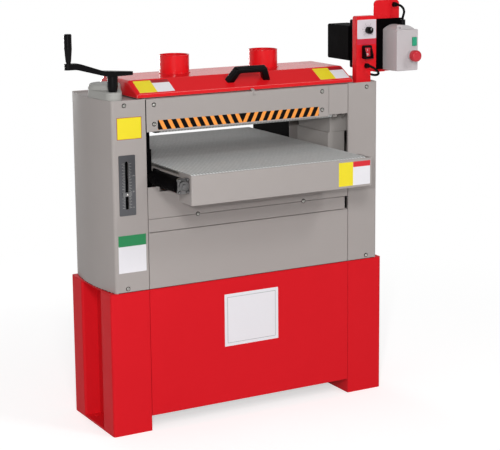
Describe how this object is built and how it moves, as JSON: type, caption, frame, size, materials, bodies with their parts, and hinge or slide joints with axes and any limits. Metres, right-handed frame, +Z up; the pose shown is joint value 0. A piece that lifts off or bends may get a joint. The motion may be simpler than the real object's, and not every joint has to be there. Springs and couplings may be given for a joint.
{
  "type": "calibrating sander",
  "caption": "Floor-standing drum calibrating sander: conveyor table raised by a hand crank, sanding drums under a hinged dust hood with extraction ports, sheet-metal stand.",
  "frame": {"origin": "on the floor, at the middle of the four anchor holes", "axes": "+X to the operator's right, +Y to the back (outfeed), +Z up"},
  "size_m": [1.244, 0.829, 1.347],
  "materials": {
    "red_paint": "smooth gloss enamel",
    "grey_paint": "satin powder coat",
    "frame_paint": "satin dark paint",
    "plain_steel": "turned steel",
    "iron": "painted casting",
    "belt_rubber": "grey rubber cover",
    "black_rubber": "black rubber",
    "abrasive": "abrasive cloth",
    "black_plastic": "moulded black",
    "black_paint": "black enamel",
    "reducer_metal": "die-cast aluminium",
    "switch_grey": "light grey moulding",
    "green_plastic": "green button",
    "red_plastic": "red button"
  },
  "bodies": {
    "frame": {"base_left_leg": "red_paint", "base_right_leg": "red_paint", "base_front_panel": "red_paint", "base_rear_panel": "red_paint", "base_deck": "red_paint", "control_column": "red_paint", "bracket_plate": "red_paint", "left_column_cover": "grey_paint", "right_column_cover": "grey_paint", "upper_front_panels": "grey_paint", "middle_panel": "grey_paint", "lower_panel": "grey_paint", "rear_panel": "grey_paint", "crank_housing": "grey_paint", "left_post": "frame_paint", "right_post": "frame_paint", "motor_shelf": "frame_paint", "hood_hinges": "frame_paint", "panel_screws": "plain_steel", "lift_chain": "plain_steel", "main_motor": "iron", "drum_bearings": "iron", "drive_belts": "black_rubber", "control_leads": "black_rubber", "rocker_bezel": "black_plastic", "cable_glands": "black_plastic", "controller_box": "black_paint", "control_back_plates": "black_paint", "scale_plate": "reducer_metal", "switch_box": "switch_grey", "switch_cover": "switch_grey"},
    "crank": {"crank_arm": "black_paint", "lead_screw_front_left": "plain_steel"},
    "grip": {"crank_grip": "black_plastic"},
    "screw_front_right": {"lead_screw_front_right": "plain_steel"},
    "screw_rear_left": {"lead_screw_rear_left": "plain_steel"},
    "screw_rear_right": {"lead_screw_rear_right": "plain_steel"},
    "table": {"table_bed": "plain_steel", "conveyor_belt": "belt_rubber", "table_side_plates": "plain_steel", "table_apron": "grey_paint", "gear_motor": "black_paint", "gear_reducer": "reducer_metal", "lift_brackets": "frame_paint", "pointer": "black_paint"},
    "drive_roller": {"drive_roller": "plain_steel"},
    "idler_roller": {"idler_roller": "plain_steel"},
    "drum_front": {"drum_front": "plain_steel", "abrasive_wrap_front": "abrasive"},
    "drum_rear": {"drum_rear": "plain_steel", "abrasive_wrap_rear": "abrasive"},
    "motor_rotor": {"motor_rotor": "plain_steel"},
    "infeed_roller": {"infeed_roller": "belt_rubber"},
    "outfeed_roller": {"outfeed_roller": "belt_rubber"},
    "hood": {"dust_hood": "red_paint", "hood_handle": "black_plastic"},
    "speed_knob": {"speed_knob": "black_plastic"},
    "rocker": {"rocker": "red_plastic"},
    "start_button": {"start_button": "green_plastic"},
    "stop_button": {"stop_button": "red_plastic"}
  },
  "joints": [
    {"name": "crank_turn", "type": "hinge", "parent": "frame", "child": "crank", "pos_m": [-0.468, -0.124, 0.9], "axis": [0, 0, -1], "range_deg": [-540, 9000]},
    {"name": "grip_spin", "type": "hinge", "parent": "crank", "child": "grip", "pos_m": [-0.612, -0.124, 1.24], "axis": [0, 0, -1], "continuous": true},
    {"name": "screw_front_right_turn", "type": "hinge", "parent": "frame", "child": "screw_front_right", "pos_m": [0.468, -0.124, 0.7], "axis": [0, 0, -1], "range_deg": [-540, 9000]},
    {"name": "screw_rear_left_turn", "type": "hinge", "parent": "frame", "child": "screw_rear_left", "pos_m": [-0.468, 0.124, 0.7], "axis": [0, 0, -1], "range_deg": [-540, 9000]},
    {"name": "screw_rear_right_turn", "type": "hinge", "parent": "frame", "child": "screw_rear_right", "pos_m": [0.468, 0.124, 0.7], "axis": [0, 0, -1], "range_deg": [-540, 9000]},
    {"name": "table_lift", "type": "slide", "parent": "frame", "child": "table", "axis": [0, 0, 1], "range_m": [-0.006, 0.1]},
    {"name": "drive_roller_spin", "type": "hinge", "parent": "table", "child": "drive_roller", "pos_m": [0, -0.336, 0.831], "axis": [1, 0, 0], "continuous": true},
    {"name": "idler_roller_spin", "type": "hinge", "parent": "table", "child": "idler_roller", "pos_m": [0, 0.424, 0.831], "axis": [1, 0, 0], "continuous": true},
    {"name": "drum_front_spin", "type": "hinge", "parent": "frame", "child": "drum_front", "pos_m": [0, -0.068, 1.028], "axis": [1, 0, 0], "continuous": true},
    {"name": "drum_rear_spin", "type": "hinge", "parent": "frame", "child": "drum_rear", "pos_m": [0, 0.068, 1.028], "axis": [1, 0, 0], "continuous": true},
    {"name": "motor_spin", "type": "hinge", "parent": "frame", "child": "motor_rotor", "pos_m": [-0.4, 0, 0.24], "axis": [1, 0, 0], "continuous": true},
    {"name": "infeed_roller_spin", "type": "hinge", "parent": "frame", "child": "infeed_roller", "pos_m": [0, -0.134, 0.98], "axis": [1, 0, 0], "continuous": true},
    {"name": "outfeed_roller_spin", "type": "hinge", "parent": "frame", "child": "outfeed_roller", "pos_m": [0, 0.134, 0.98], "axis": [1, 0, 0], "continuous": true},
    {"name": "hood_open", "type": "hinge", "parent": "frame", "child": "hood", "pos_m": [0, 0.186, 1.07], "axis": [-1, 0, 0], "range_deg": [0, 85]},
    {"name": "speed_turn", "type": "hinge", "parent": "frame", "child": "speed_knob", "pos_m": [0.463, -0.15, 1.249], "axis": [0, 1, 0], "range_deg": [-135, 135]},
    {"name": "rocker_tip", "type": "hinge", "parent": "frame", "child": "rocker", "pos_m": [0.4565, -0.144, 1.176], "axis": [1, 0, 0], "range_deg": [-8, 8]},
    {"name": "start_press", "type": "slide", "parent": "frame", "child": "start_button", "axis": [0, 1, 0], "range_m": [0, 0.004], "stiffness_N_per_m": 400, "springref_m": -0.001},
    {"name": "stop_press", "type": "slide", "parent": "frame", "child": "stop_button", "axis": [0, 1, 0], "range_m": [0, 0.005], "stiffness_N_per_m": 500, "springref_m": -0.001}
  ],
  "couplings": [
    {"joint": "crank_turn", "follows": "table_lift", "rad_per_m": 1570.8},
    {"joint": "screw_front_right_turn", "follows": "table_lift", "rad_per_m": 1570.8},
    {"joint": "screw_rear_left_turn", "follows": "table_lift", "rad_per_m": 1570.8},
    {"joint": "screw_rear_right_turn", "follows": "table_lift", "rad_per_m": 1570.8},
    {"joint": "idler_roller_spin", "follows": "drive_roller_spin", "ratio": 1},
    {"joint": "drum_rear_spin", "follows": "drum_front_spin", "ratio": 1},
    {"joint": "motor_spin", "follows": "drum_front_spin", "ratio": 0.76}
  ]
}
